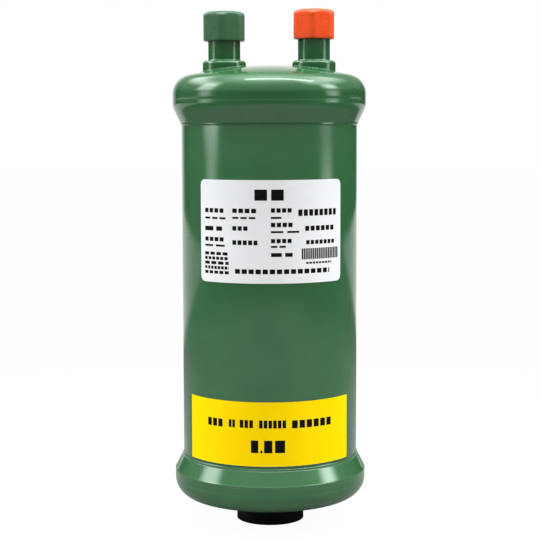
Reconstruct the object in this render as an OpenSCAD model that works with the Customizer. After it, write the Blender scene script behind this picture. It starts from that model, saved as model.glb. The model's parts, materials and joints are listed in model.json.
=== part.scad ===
// Refrigeration oil separator: a brazed steel vessel with a float valve that returns the oil.
// Millimetres, +Z up. The origin is on the floor under the base cap, and the labels face -Y.

/* [Shell tube] */
// Outside diameter of the tube
tube_d = 70; // [62:1:84]
// Wall of the tube
tube_wall = 2.5; // [1.5:0.1:3.5]
// Length of tube that shows between the two heads
tube_exposed = 133.3; // [120:0.1:180]
// Room between the end of the tube and the start of the head's knuckle
tube_end_room = 1.1; // [0.5:0.1:3]
// Radial gap for the filler between the tube and a head
braze_gap = 0.08; // [0.03:0.01:0.1]

/* [Heads] */
// Wall of the pressed heads
head_wall = 3.4; // [2.5:0.1:4]
// Height of the top head's tapered rim, which closes on the tube
top_rim_h = 6.3; // [4:0.1:8]
// Height of the straight band above the top head's rim
top_band_h = 5; // [4:0.1:9]
// Height of the drawing line above the top head's rim
top_line_h = 2.7; // [1:0.1:3.5]
// Height of the bottom head's tapered rim
bottom_rim_h = 5.65; // [4:0.05:8]
// Height of the straight band below the bottom head's rim
bottom_band_h = 3.6; // [3.5:0.1:9]
// Depth of the drawing line below the bottom head's rim
bottom_line_h = 3.3; // [1:0.1:3.3]
// Thickness left at the edge of the rim
rim_lip = 0.4; // [0.2:0.1:1]
// Outside radius of the knuckle
knuckle_r = 7.8; // [6:0.1:11]
// Outside radius of the crown
crown_r = 144; // [120:1:240]
// Depth of a drawing line's groove
draw_line_depth = 0.15; // [0.1:0.05:0.3]
// Height of the filler fillet under a rim
fillet_h = 0.9; // [0.5:0.1:1.5]

/* [Sockets] */
// Distance from the outside of the tube in to the axis of a neck
socket_inset = 17.2; // [16:0.1:19]
// Outside diameter of a neck
neck_d = 12.8; // [12:0.1:14]
// Height of a neck above its collar
neck_h = 17.5; // [15:0.1:26]
// Bore that takes the pipe
pipe_bore_d = 9.6; // [8.2:0.1:10]
// Depth of the pipe bore
pipe_bore_depth = 10; // [8:0.5:12]
// Passage below the pipe bore
passage_d = 7.8; // [6:0.1:8]
// Diameter of a collar
collar_d = 17.3; // [16:0.1:19]
// Height of a collar above the dome, on the axis of its neck
collar_h = 3; // [2:0.1:5]
// Rounding of a collar's top edge
collar_round = 1.3; // [0.5:0.1:1.6]
// Length of a socket's tail below the inside of the dome
tail_len = 4; // [2:0.5:8]
// Leg of the weld bead round a collar
socket_weld_leg = 0.3; // [0.3:0.1:1.5]

/* [Hexagonal caps] */
// Wall of a cap at its flats
cap_wall = 1.4; // [1:0.1:2]
// Height of a cap
cap_h = 11.9; // [9:0.1:14]
// Thickness of a cap's roof
cap_roof = 1.8; // [1:0.1:3]
// Radial clearance between a cap and its neck
cap_clearance = 0.06; // [0.03:0.01:0.1]
// Room between the outlet neck and the roof of its cap
outlet_cap_room = 0.3; // [0.3:0.1:2]
// Room between the inlet neck and the roof of its cap
inlet_cap_room = 1.1; // [0.3:0.1:2]
// Turn of the caps about their necks
cap_turn = -5.9; // [-30:0.1:30]
// Drop of the rounded shoulder at a cap's corners
cap_shoulder = 3; // [1:0.1:4]
// Inset of a cap's flat top from its flats
cap_top_inset = 2.2; // [0.2:0.1:2.6]
// Trim of a cap's six corners
cap_corner_trim = 0.3; // [0.1:0.05:0.5]
// Chamfer at the foot of a cap
cap_foot = 0.5; // [0.2:0.1:1]

/* [Oil return] */
// Diameter of the threaded spud
spud_d = 20; // [18:0.1:23]
// Length of spud that stands below the dome
spud_drop = 3.3; // [2:0.1:5]
// Length of spud that stands up inside the dome
spud_rise = 7.2; // [6:0.1:12]
// Leg of the weld bead round the spud
spud_weld_leg = 1.3; // [0.8:0.1:2]
// Tapping diameter of the oil return thread
thread_d = 9.9; // [8:0.1:11]
// Length of the oil return thread
thread_len = 8; // [6:0.5:8]
// Diameter of the plain mouth below the thread
spud_mouth_d = 13; // [12:0.1:15]
// Depth of the plain mouth
spud_mouth_len = 2.5; // [2:0.1:2.8]
// Passage from the valve to the thread
return_passage_d = 6; // [5:0.1:7]
// Wall of the base cap
base_cap_wall = 1.55; // [1:0.05:3]
// Floor of the base cap
base_cap_floor = 3.1; // [2:0.1:6]
// Room between the spud's weld and the base cap
base_cap_room = 0.7; // [0.4:0.1:2]
// Radial clearance of the base cap's plug in the mouth
plug_clearance = 0.06; // [0.03:0.01:0.1]
// Gap between the base cap and the vessel
base_cap_gap = 0.3; // [0.2:0.1:0.6]
// Chamfer at the foot of the base cap
base_cap_edge = 0.3; // [0.1:0.1:1]

/* [Labels] */
// Width of the nameplate, round the tube
nameplate_w = 61; // [40:0.1:90]
// Height of the nameplate
nameplate_h = 39.3; // [20:0.1:60]
// Height of the nameplate's centre above the bottom seam
nameplate_up = 92.2; // [75:0.1:98]
// Turn of the nameplate from the front
nameplate_turn = 1.2; // [-20:0.1:20]
// Rounding of the nameplate's corners
nameplate_corner = 2.2; // [1:0.1:5]
// Width of the charge label, round the tube
charge_w = 74.2; // [40:0.1:90]
// Height of the charge label
charge_h = 25.4; // [15:0.1:40]
// Height of the charge label's lower edge above the bottom seam
charge_up = 1.4; // [1.2:0.1:6]
// Turn of the charge label from the front
charge_turn = -1; // [-20:0.1:20]
// Rounding of the charge label's corners
charge_corner = 0.6; // [0.4:0.1:4]
// Thickness of a label
label_t = 0.15; // [0.1:0.05:0.3]

/* [Screens and baffle] */
// Diameter of the two screens
screen_d = 24; // [18:0.5:25]
// Wall of a screen
screen_wall = 0.8; // [0.5:0.1:1.2]
// Length of the inlet screen
inlet_screen_len = 45; // [30:1:50]
// Length of the outlet screen
outlet_screen_len = 30; // [20:1:50]
// Depth of the screens' tops below the top seam
screen_depth = 6; // [3:0.5:12]
// Thickness of a screen's end plates
end_plate_t = 1.2; // [0.8:0.1:2]
// Diameter of a screen's holes
screen_hole_d = 3; // [2:0.1:4]
// Spacing of a screen's rows of holes
screen_pitch = 7; // [5:0.5:10]
// Holes in one row
screen_columns = 8; // [6:2:10]
// Wall of the dip tubes
dip_wall = 0.8; // [0.5:0.1:1.2]
// Length of dip tube inside a socket
dip_grip = 5; // [3:0.5:6]
// Length of dip tube inside a screen
dip_reach = 12; // [5:0.5:18]
// Thickness of the baffle plate
baffle_t = 1.5; // [1:0.1:3]
// Width of the baffle plate between its two straight edges
baffle_w = 36; // [24:1:44]
// Diameter of the baffle plate's drain holes
drain_d = 6; // [3:0.5:9]
// Spacing of the drain holes
drain_pitch = 12; // [10:0.5:12.5]
// Room above the float at the top of its swing
float_room = 2; // [1:0.5:10]

/* [Float valve] */
// Diameter of the valve body
valve_d = 14; // [12:0.5:18]
// Height of the valve body above the spud
valve_h = 10; // [9.5:0.1:12]
// Bore of the valve body, which guides the needle
valve_bore_d = 5.2; // [4.6:0.1:6]
// Bore below the valve seat
seat_drain_d = 2.8; // [2:0.1:3.4]
// Floor of the valve bore above the spud
valve_floor = 2; // [1.5:0.1:3]
// Height of the valve seat
seat_h = 2; // [1.5:0.1:2.4]
// Bore of the valve seat
orifice_d = 1.6; // [1:0.1:2]
// Depth of the seat's conical mouth
mouth_depth = 1; // [0.5:0.1:1.2]
// Diameter of the two oil ports in the valve body
oil_port_d = 1.8; // [1:0.1:2]
// Length of the needle's guide
guide_len = 3; // [3:0.1:4]
// Depth of the guide below the top of the valve body
guide_depth = 1; // [0.5:0.1:1.2]
// Diameter of the needle between its tip and its guide
needle_neck_d = 3; // [2.4:0.1:4]
// Length of the valve body's spigot in the spud
spigot_len = 3; // [2:0.1:4]
// Distance from the needle to the pivot pin
pivot_reach = 11; // [10:0.1:13]
// Height of the pivot pin above the valve body
pivot_rise = 5; // [5:0.1:8]
// Diameter of the pivot pin
pivot_d = 3; // [2:0.1:3.6]
// Outside radius of the arm's eye and of the ears
eye_r = 3; // [2.8:0.1:4]
// Width of the float arm
arm_w = 5; // [4.6:0.1:6]
// Thickness of the float arm
arm_t = 1.6; // [1:0.1:2.4]
// Clearance of the needle's stem in the arm's slot
arm_slot_room = 0.9; // [0.8:0.05:1.1]
// Height of the block that carries the ears
ear_block_h = 8; // [6:0.1:9]
// Room under the arm's eye
ear_floor_room = 0.7; // [0.4:0.1:1]
// Thickness of an ear
ear_t = 2; // [1.5:0.1:3]
// Gap between the arm and each ear
ear_gap = 0.3; // [0.2:0.05:0.6]
// Diameter of the needle's stem
stem_d = 2; // [1.6:0.1:2.4]
// Diameter of the needle's two collars
needle_collar_d = 5; // [4.6:0.1:5.6]
// Thickness of the needle's two collars
needle_collar_t = 1.3; // [0.8:0.1:2]
// Play between the arm and each collar
needle_play = 1; // [0.8:0.1:1.5]
// Diameter of the float
float_d = 34; // [26:0.5:36]
// Diameter of the stem that carries the float
float_stem_d = 3.6; // [2.6:0.1:4.4]
// Room between the needle's top and the float
float_stem_room = 1.2; // [1:0.1:3]
// Wall of the float
float_wall = 0.8; // [0.5:0.1:1.5]
// Room between the float and the tube
float_side_room = 3.5; // [2:0.5:6]
// Outside diameter of the sump magnet
magnet_d = 30; // [27:0.5:34]
// Height of the sump magnet
magnet_h = 5; // [3:0.5:6]

/* [Clearances] */
// Hairline between pieces that are welded, brazed or stuck together
hairline = 0.02; // [0.01:0.01:0.05]
// Radial clearance of a pressed-in piece
press_gap = 0.05; // [0.02:0.01:0.1]
// Radial clearance of a running piece
running_gap = 0.05; // [0.02:0.01:0.1]

// Gap between the closed needle and its seat
needle_seat_gap = 0.14; // [0.1:0.01:0.2]

/* [Hidden] */
$fn = 96;
// How far a cut runs past the face that it opens
overcut = 1;

paint = "#3f6f4a";
orange_plastic = "#eb5224";
green_plastic = "#4f7a59";
black_plastic = "#141414";
bright_steel = "#b9bcc0";
yellow_brass = "#c2a14d";
dark_ferrite = "#3a3a3d";

// Heads: heights are measured from a seam towards its pole
tube_r = tube_d / 2;
tube_in_r = tube_r - tube_wall;
head_in_r = tube_r + braze_gap;
head_r = head_in_r + head_wall;
knuckle_angle = acos((head_r - knuckle_r) / (crown_r - knuckle_r));
crown_drop = (crown_r - knuckle_r) * sin(knuckle_angle);
dish_h = crown_r - crown_drop;
top_straight = top_rim_h + top_band_h;
top_depth = top_straight + dish_h;
bottom_straight = bottom_rim_h + bottom_band_h;
bottom_depth = bottom_straight + dish_h;

// Heights of the vessel
pole_low = base_cap_floor + base_cap_gap + spud_drop;
seam_low = pole_low + bottom_depth;
seam_high = seam_low + tube_exposed;
pole_high = seam_high + top_depth;
tube_low = seam_low - bottom_straight + tube_end_room;
tube_high = seam_high + top_straight - tube_end_room;

// Sockets
socket_x = tube_r - socket_inset;
neck_r = neck_d / 2;
collar_r = collar_d / 2;
dome_slope = asin(socket_x / crown_r);
dome_top = pole_high - crown_sag(crown_r, socket_x);
collar_top = dome_top + collar_h;
neck_top = collar_top + neck_h;
tail_end = dome_top - head_wall - tail_len;

// Hexagonal caps
cap_bore_r = neck_r + cap_clearance;
cap_flat_r = cap_bore_r + cap_wall;
cap_corner_r = cap_flat_r / cos(30);
cap_inside_h = cap_h - cap_roof;

// Oil return
spud_r = spud_d / 2;
spud_low = pole_low - spud_drop;
spud_high = pole_low + head_wall + spud_rise;
base_recess_r = spud_r + spud_weld_leg + base_cap_room;
base_cap_r = base_recess_r + base_cap_wall;
base_rim = pole_low + crown_sag(crown_r, base_recess_r) - base_cap_gap;
thread_low = spud_low + spud_mouth_len;
plug_r = spud_mouth_d / 2 - plug_clearance;
plug_top = thread_low - base_cap_gap;

// Screens
screen_r = screen_d / 2;
screen_top = seam_high - screen_depth;
dip_r = passage_d / 2 - press_gap;

// Float valve
valve_base = spud_high + hairline;
valve_top = valve_base + valve_h;
valve_bore_r = valve_bore_d / 2;
seat_low = valve_base + valve_floor + hairline;
seat_top = seat_low + seat_h;
mouth_low = seat_top - mouth_depth;
needle_r = valve_bore_r - running_gap;
needle_neck_r = needle_neck_d / 2;
guide_low = valve_top - guide_len - guide_depth;
stem_r = stem_d / 2;
needle_collar_r = needle_collar_d / 2;
pivot_z = valve_top + pivot_rise;
arm_slot_r = stem_r + arm_slot_room;
ear_in = arm_w / 2 + ear_gap;
ear_out = ear_in + ear_t;
ear_floor = pivot_z - eye_r - ear_floor_room;
float_r = float_d / 2;
float_x = tube_in_r - float_side_room - float_r;
float_stem_h = needle_play + needle_collar_t + float_stem_room;
float_low = pivot_z + arm_t / 2 + float_stem_h;
float_z = float_low + hairline + float_r;
float_swing_r = norm([float_x + pivot_reach, float_z - pivot_z]);
baffle_z = pivot_z + float_swing_r + float_r + float_room;
crown_in_r = crown_r - head_wall;
magnet_low = pole_low + head_wall + crown_sag(crown_in_r, magnet_d / 2) + hairline;

// Fall of a sphere of radius r at distance d from its pole
function crown_sag(r, d) = r - sqrt(r * r - d * d);

// Points on an arc about [x, y], from angle a to angle b, in n steps
function arc(x, y, r, a, b, n) =
    [for (i = [0:n]) let (t = a + (b - a) * i / n) [x + r * cos(t), y + r * sin(t)]];

function reversed(list) = [for (i = [len(list) - 1:-1:0]) list[i]];

// Knuckle and crown of a head, from its straight part to its pole, set in from the outside
function dished(inset, straight) = concat(
    arc(head_r - knuckle_r, straight, knuckle_r - inset, 0, knuckle_angle, 9),
    arc(0, straight - crown_drop, crown_r - inset, knuckle_angle + (90 - knuckle_angle) / 10, 90, 9)
);

// Fine line round the band at height z, left by the drawing die
function draw_line(z) = [
    [head_r, z - draw_line_depth],
    [head_r - draw_line_depth, z],
    [head_r, z + draw_line_depth]
];

module head_shell(rim, straight, line) {
    outside = concat([[head_in_r + rim_lip, 0], [head_r, rim]], draw_line(rim + line), dished(0, straight));
    inside = concat([[head_in_r, 0]], dished(head_wall, straight));
    rotate_extrude() polygon(concat(outside, reversed(inside)));
}

module top_head() {
    color(paint) difference() {
        translate([0, 0, seam_high]) head_shell(top_rim_h, top_straight, top_line_h);
        for (side = [-1, 1])
            translate([side * socket_x, 0, seam_high]) cylinder(r = neck_r + press_gap, h = 2 * top_depth);
    }
}

module bottom_head() {
    color(paint) difference() {
        translate([0, 0, seam_low]) mirror([0, 0, 1])
            head_shell(bottom_rim_h, bottom_straight, bottom_line_h);
        cylinder(r = spud_r + press_gap, h = seam_low);
    }
}

module shell_tube() {
    color(paint) translate([0, 0, tube_low]) difference() {
        length = tube_high - tube_low;
        cylinder(r = tube_r, h = length);
        translate([0, 0, -overcut]) cylinder(r = tube_in_r, h = length + 2 * overcut);
    }
}

// Filler fillet that hangs under a rim whose edge is at height 0
module braze_fillet() {
    inner = tube_r + hairline;
    outer = head_in_r + rim_lip;
    rotate_extrude() polygon([[inner, -hairline], [inner, -fillet_h], [outer, -hairline]]);
}

module top_braze() {
    color(paint) translate([0, 0, seam_high]) braze_fillet();
}

module bottom_braze() {
    color(paint) translate([0, 0, seam_low]) mirror([0, 0, 1]) braze_fillet();
}

// Filled dome of a head, grown by the hairline, which copes what is welded on it
module dome_cope(straight) {
    rotate_extrude() polygon(concat([[0, 0]], dished(-hairline, straight)));
}

// Turned neck whose collar is coped to the dome
module socket(side) {
    x = side * socket_x;
    color(paint) difference() {
        union() {
            difference() {
                translate([x, 0, 0]) rotate_extrude() polygon(concat(
                    [[0, dome_top - collar_h], [collar_r, dome_top - collar_h]],
                    arc(collar_r - collar_round, collar_top - collar_round, collar_round, 0, 90, 6),
                    [[0, collar_top]]
                ));
                translate([0, 0, seam_high]) dome_cope(top_straight);
            }
            translate([x, 0, tail_end]) cylinder(r = neck_r, h = neck_top - tail_end);
        }
        translate([x, 0, tail_end - overcut]) cylinder(d = passage_d, h = neck_top - tail_end);
        translate([x, 0, neck_top - pipe_bore_depth])
            cylinder(d = pipe_bore_d, h = pipe_bore_depth + overcut);
    }
}

module inlet_socket() {
    socket(1);
}

module outlet_socket() {
    socket(-1);
}

// Quarter-round bead in the corner between a dome and an upright cylinder of radius r
module weld_section(r, leg) {
    polygon(concat(
        [[0, -leg], [r + leg, -leg]],
        arc(r, 0, leg, 0, 90, 5),
        [[0, leg]]
    ));
}

module socket_weld(side) {
    color(paint) difference() {
        translate([side * socket_x, 0, dome_top]) rotate([0, side * dome_slope, 0])
            translate([0, 0, -crown_sag(crown_r, collar_r)])
                rotate_extrude() weld_section(collar_r, socket_weld_leg);
        translate([0, 0, seam_high]) dome_cope(top_straight);
        translate([side * socket_x, 0, dome_top - collar_h])
            cylinder(r = collar_r + hairline, h = 4 * collar_h);
    }
}

module inlet_weld() {
    socket_weld(1);
}

module outlet_weld() {
    socket_weld(-1);
}

// Moulded cap: a hexagon whose corners are trimmed and rounded off at the top
module hex_cap(side, room) {
    corner = cap_corner_r - cap_corner_trim;
    top_r = cap_flat_r - cap_top_inset;
    shoulder = [for (t = [0:18:90])
        [top_r + (corner - top_r) * cos(t), cap_h - cap_shoulder * (1 - sin(t))]];
    translate([side * socket_x, 0, neck_top + room - cap_inside_h]) rotate([0, 0, cap_turn]) difference() {
        intersection() {
            rotate([0, 0, 30]) cylinder(r = cap_corner_r, h = cap_h, $fn = 6);
            rotate_extrude() polygon(concat(
                [[0, 0], [corner - cap_foot, 0], [corner, cap_foot]],
                shoulder,
                [[0, cap_h]]
            ));
        }
        translate([0, 0, -overcut]) cylinder(r = cap_bore_r, h = cap_inside_h + overcut);
    }
}

module inlet_cap() {
    color(orange_plastic) hex_cap(1, inlet_cap_room);
}

module outlet_cap() {
    color(green_plastic) hex_cap(-1, outlet_cap_room);
}

module return_spud() {
    color(paint) difference() {
        translate([0, 0, spud_low]) cylinder(r = spud_r, h = spud_high - spud_low);
        translate([0, 0, spud_low - overcut]) cylinder(d = spud_mouth_d, h = spud_mouth_len + overcut);
        translate([0, 0, spud_low]) cylinder(d = thread_d, h = spud_mouth_len + thread_len);
        translate([0, 0, spud_low]) cylinder(d = return_passage_d, h = spud_high);
    }
}

module spud_weld() {
    color(paint) difference() {
        translate([0, 0, pole_low]) mirror([0, 0, 1])
            rotate_extrude() weld_section(spud_r, spud_weld_leg);
        translate([0, 0, seam_low]) mirror([0, 0, 1]) dome_cope(bottom_straight);
        cylinder(r = spud_r + hairline, h = 2 * pole_low);
    }
}

// Flat cap with a plug that shuts the mouth of the oil return
module base_cap() {
    color(black_plastic) rotate_extrude() polygon([
        [0, 0],
        [base_cap_r - base_cap_edge, 0],
        [base_cap_r, base_cap_edge],
        [base_cap_r, base_rim],
        [base_recess_r, base_rim],
        [base_recess_r, base_cap_floor],
        [plug_r, base_cap_floor],
        [plug_r, plug_top],
        [0, plug_top]
    ]);
}

// Outline of a label wrapped on the tube, as seen from the front
module label_outline(w, h, corner) {
    side = w / 2 - corner;
    top = h / 2 - corner;
    flat = concat(
        arc(side, top, corner, 0, 90, 6), arc(-side, top, corner, 90, 180, 6),
        arc(-side, -top, corner, 180, 270, 6), arc(side, -top, corner, 270, 360, 6)
    );
    polygon([for (p = flat) [tube_r * sin(p[0] / tube_r * 180 / PI), p[1]]]);
}

// Sheet stuck on the front of the tube, centred at height z
module label_sheet(w, h, corner, z, turn) {
    inner = tube_r + hairline;
    rotate([0, 0, turn]) translate([0, 0, z]) intersection() {
        rotate([90, 0, 0]) linear_extrude(height = 2 * tube_r) label_outline(w, h, corner);
        translate([0, 0, -h]) difference() {
            cylinder(r = inner + label_t, h = 2 * h);
            translate([0, 0, -overcut]) cylinder(r = inner, h = 2 * h + 2 * overcut);
        }
    }
}

module nameplate_label() {
    middle = seam_low + nameplate_up;
    color("white") label_sheet(nameplate_w, nameplate_h, nameplate_corner, middle, nameplate_turn);
}

module charge_label() {
    middle = seam_low + charge_up + charge_h / 2;
    color("gold") label_sheet(charge_w, charge_h, charge_corner, middle, charge_turn);
}

// Pipe from a socket down into its screen
module dip_tube(side) {
    low = screen_top - dip_reach;
    color(bright_steel) translate([side * socket_x, 0, low]) difference() {
        length = tail_end + dip_grip - low;
        cylinder(r = dip_r, h = length);
        translate([0, 0, -overcut]) cylinder(r = dip_r - dip_wall, h = length + 2 * overcut);
    }
}

// Perforated sleeve
module screen(side, length) {
    rows = floor((length - 2 * end_plate_t - screen_hole_d) / screen_pitch);
    first = length / 2 - (rows - 1) * screen_pitch / 2;
    color(bright_steel) translate([side * socket_x, 0, screen_top - length]) difference() {
        cylinder(r = screen_r, h = length);
        translate([0, 0, -overcut]) cylinder(r = screen_r - screen_wall, h = length + 2 * overcut);
        for (row = [0:rows - 1], column = [0:screen_columns - 1])
            rotate([0, 0, (column + row % 2 / 2) * 360 / screen_columns])
                translate([screen_r / 2, 0, first + row * screen_pitch])
                    rotate([0, 90, 0]) cylinder(d = screen_hole_d, h = screen_r, $fn = 24);
    }
}

module screen_end(side, z) {
    translate([side * socket_x, 0, z]) cylinder(r = screen_r - screen_wall - press_gap, h = end_plate_t);
}

module screen_top_plate(side) {
    color(bright_steel) difference() {
        screen_end(side, screen_top - end_plate_t);
        translate([side * socket_x, 0, screen_top - 2 * end_plate_t])
            cylinder(r = dip_r + press_gap, h = 3 * end_plate_t);
    }
}

module inlet_tube() {
    dip_tube(1);
}

module outlet_tube() {
    dip_tube(-1);
}

module inlet_screen() {
    screen(1, inlet_screen_len);
}

module outlet_screen() {
    screen(-1, outlet_screen_len);
}

module inlet_screen_top() {
    screen_top_plate(1);
}

module outlet_screen_top() {
    screen_top_plate(-1);
}

module inlet_screen_base() {
    color(bright_steel) screen_end(1, screen_top - inlet_screen_len);
}

module outlet_screen_base() {
    color(bright_steel) screen_end(-1, screen_top - outlet_screen_len);
}

// Plate across the tube, open along the front and the back so that oil runs down the wall
module baffle_plate() {
    plate_r = tube_in_r - press_gap;
    color(bright_steel) translate([0, 0, baffle_z]) difference() {
        intersection() {
            cylinder(r = plate_r, h = baffle_t);
            translate([-tube_d, -baffle_w / 2, -overcut])
                cube([2 * tube_d, baffle_w, baffle_t + 2 * overcut]);
        }
        for (i = [-2:2])
            translate([i * drain_pitch, 0, -overcut]) cylinder(d = drain_d, h = baffle_t + 2 * overcut);
    }
}

// Valve body with two ears for the pivot pin
module valve_body() {
    ear_x = -pivot_reach - eye_r;
    color(yellow_brass) difference() {
        union() {
            translate([0, 0, valve_base]) cylinder(d = valve_d, h = valve_h);
            translate([0, 0, valve_base - spigot_len])
                cylinder(d = return_passage_d - 2 * press_gap, h = spigot_len + overcut);
            translate([ear_x, -ear_out, ear_floor - ear_block_h])
                cube([-ear_x - valve_bore_r - overcut, 2 * ear_out, ear_block_h]);
            for (y = [-ear_out, ear_in])
                translate([ear_x, y, ear_floor - overcut])
                    cube([2 * eye_r, ear_t, pivot_z + eye_r - ear_floor + overcut]);
        }
        translate([0, 0, valve_base - spigot_len - overcut])
            cylinder(d = seat_drain_d, h = spigot_len + valve_h);
        translate([0, 0, valve_base + valve_floor]) cylinder(r = valve_bore_r, h = valve_h + pivot_rise);
        translate([0, 0, seat_top + oil_port_d / 2 + hairline]) rotate([90, 0, 0])
            cylinder(d = oil_port_d, h = 2 * valve_d, center = true);
        translate([-pivot_reach, 0, pivot_z]) rotate([90, 0, 0])
            cylinder(r = pivot_d / 2 + hairline, h = 4 * ear_out, center = true);
    }
}

module valve_seat() {
    bore_r = orifice_d / 2;
    outer = valve_bore_r - press_gap;
    color(bright_steel) rotate_extrude() polygon([
        [bore_r, seat_low],
        [outer, seat_low],
        [outer, seat_top],
        [bore_r + mouth_depth, seat_top],
        [bore_r, mouth_low]
    ]);
}

// Needle with a conical tip, a guide, and two collars that hold the arm
module valve_needle() {
    tip_r = orifice_d / 2 - needle_seat_gap;
    lower_collar = pivot_z - arm_t / 2 - needle_play;
    upper_collar = pivot_z + arm_t / 2 + needle_play;
    color(bright_steel) rotate_extrude() polygon([
        [0, mouth_low],
        [tip_r, mouth_low],
        [needle_neck_r, mouth_low + needle_neck_r - tip_r],
        [needle_neck_r, guide_low],
        [needle_r, guide_low],
        [needle_r, guide_low + guide_len],
        [stem_r, guide_low + guide_len],
        [stem_r, lower_collar - needle_collar_t],
        [needle_collar_r, lower_collar - needle_collar_t],
        [needle_collar_r, lower_collar],
        [stem_r, lower_collar],
        [stem_r, upper_collar],
        [needle_collar_r, upper_collar],
        [needle_collar_r, upper_collar + needle_collar_t],
        [0, upper_collar + needle_collar_t]
    ]);
}

// Strip with an eye on the pivot pin, an open slot for the needle and a stem under the float
module float_arm() {
    color(bright_steel) difference() {
        union() {
            translate([-pivot_reach, -arm_w / 2, pivot_z - arm_t / 2])
                cube([pivot_reach + float_x + arm_w / 2, arm_w, arm_t]);
            translate([-pivot_reach, 0, pivot_z]) rotate([90, 0, 0])
                cylinder(r = eye_r, h = arm_w, center = true);
            translate([float_x, 0, pivot_z]) cylinder(d = float_stem_d, h = float_low - pivot_z);
        }
        translate([-pivot_reach, 0, pivot_z]) rotate([90, 0, 0])
            cylinder(r = pivot_d / 2 + running_gap, h = 2 * arm_w, center = true);
        translate([0, 0, pivot_z - arm_t]) cylinder(r = arm_slot_r, h = 2 * arm_t);
        translate([-stem_r - running_gap, -arm_w, pivot_z - arm_t])
            cube([stem_d + 2 * running_gap, arm_w, 2 * arm_t]);
    }
}

module pivot_pin() {
    color(bright_steel) translate([-pivot_reach, 0, pivot_z]) rotate([90, 0, 0])
        cylinder(d = pivot_d, h = 2 * ear_out, center = true);
}

// Half of the hollow float: up is 1 for the upper half and -1 for the lower
module float_shell(up) {
    color(bright_steel) translate([float_x, 0, float_z]) intersection() {
        difference() {
            sphere(r = float_r);
            sphere(r = float_r - float_wall);
        }
        translate([-float_d, -float_d, up > 0 ? hairline / 2 : -float_d])
            cube([2 * float_d, 2 * float_d, float_d - hairline / 2]);
    }
}

module float_lower_shell() {
    float_shell(-1);
}

module float_upper_shell() {
    float_shell(1);
}

module sump_magnet() {
    color(dark_ferrite) translate([0, 0, magnet_low]) difference() {
        cylinder(d = magnet_d, h = magnet_h);
        translate([0, 0, -overcut]) cylinder(r = spud_r + press_gap, h = magnet_h + 2 * overcut);
    }
}

shell_tube();
top_head();
bottom_head();
top_braze();
bottom_braze();
inlet_socket();
outlet_socket();
inlet_weld();
outlet_weld();
inlet_cap();
outlet_cap();
return_spud();
spud_weld();
base_cap();
nameplate_label();
charge_label();
inlet_tube();
inlet_screen();
inlet_screen_top();
inlet_screen_base();
outlet_tube();
outlet_screen();
outlet_screen_top();
outlet_screen_base();
baffle_plate();
valve_body();
valve_seat();
valve_needle();
float_arm();
pivot_pin();
float_lower_shell();
float_upper_shell();
sump_magnet();
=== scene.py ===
"""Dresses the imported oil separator: smooth enamelled vessel, moulded caps, printed labels and a studio."""
import json
import math

import bpy
from bpy.props import FloatProperty, FloatVectorProperty, IntProperty, PointerProperty
from bpy.types import Operator, Panel, PropertyGroup
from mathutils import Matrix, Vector


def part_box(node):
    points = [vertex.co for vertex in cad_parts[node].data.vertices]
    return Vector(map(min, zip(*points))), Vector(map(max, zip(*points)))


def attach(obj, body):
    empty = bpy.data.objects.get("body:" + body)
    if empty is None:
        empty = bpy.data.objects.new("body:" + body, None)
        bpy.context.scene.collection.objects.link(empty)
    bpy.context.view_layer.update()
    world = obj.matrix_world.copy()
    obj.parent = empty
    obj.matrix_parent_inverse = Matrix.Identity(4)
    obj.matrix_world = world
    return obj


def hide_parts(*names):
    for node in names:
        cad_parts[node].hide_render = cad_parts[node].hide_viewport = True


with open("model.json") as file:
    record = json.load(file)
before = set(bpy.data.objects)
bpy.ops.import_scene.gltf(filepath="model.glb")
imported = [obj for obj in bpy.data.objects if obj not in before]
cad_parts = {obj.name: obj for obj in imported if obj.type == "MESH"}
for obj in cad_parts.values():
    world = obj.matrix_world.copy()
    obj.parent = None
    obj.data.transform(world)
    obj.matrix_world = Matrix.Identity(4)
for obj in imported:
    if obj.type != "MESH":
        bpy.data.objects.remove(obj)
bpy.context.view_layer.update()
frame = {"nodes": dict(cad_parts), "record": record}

bl_info = {
    "name": "Oil separator dressing",
    "version": (1, 0, 0),
    "blender": (4, 5, 0),
    "location": "View3D > Sidebar > Oil separator",
    "description": "Models the outside of a refrigeration oil separator over its CAD frame",
    "category": "Object",
}

# Places and sizes that the CAD frame gives
MM = 0.001
TUBE_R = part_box("shell_tube")[1].x
TUBE_LOW, TUBE_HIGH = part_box("shell_tube")[0].z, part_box("shell_tube")[1].z
HEAD_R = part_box("top_head")[1].x
SEAM_HIGH, POLE_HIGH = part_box("top_head")[0].z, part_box("top_head")[1].z
SEAM_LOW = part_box("bottom_head")[1].z
NECK_X = (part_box("inlet_cap")[0].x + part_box("inlet_cap")[1].x) / 2
NECK_LOW, NECK_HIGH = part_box("inlet_socket")[0].z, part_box("inlet_socket")[1].z
COLLAR_R = (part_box("inlet_socket")[1].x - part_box("inlet_socket")[0].x) / 2
BOSS_LOW, BOSS_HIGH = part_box("return_spud")[0].z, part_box("return_spud")[1].z
BOSS_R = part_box("return_spud")[1].x
BASE_CAP_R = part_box("base_cap")[1].x

# Fineness of the meshes
NECK_STEPS, BEAD_STEPS, BOSS_STEPS, FLAT_CAP_STEPS = 96, 120, 128, 160
LABEL_COLUMNS = 56
CAP_VOXEL = 0.2 * MM
ON_AXIS, MERGE_WITHIN = 1e-9, 2e-7

LABEL_GAP, LABEL_THICK = 0.02 * MM, 0.15 * MM
FLOOR_SIZE = 8.0

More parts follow.
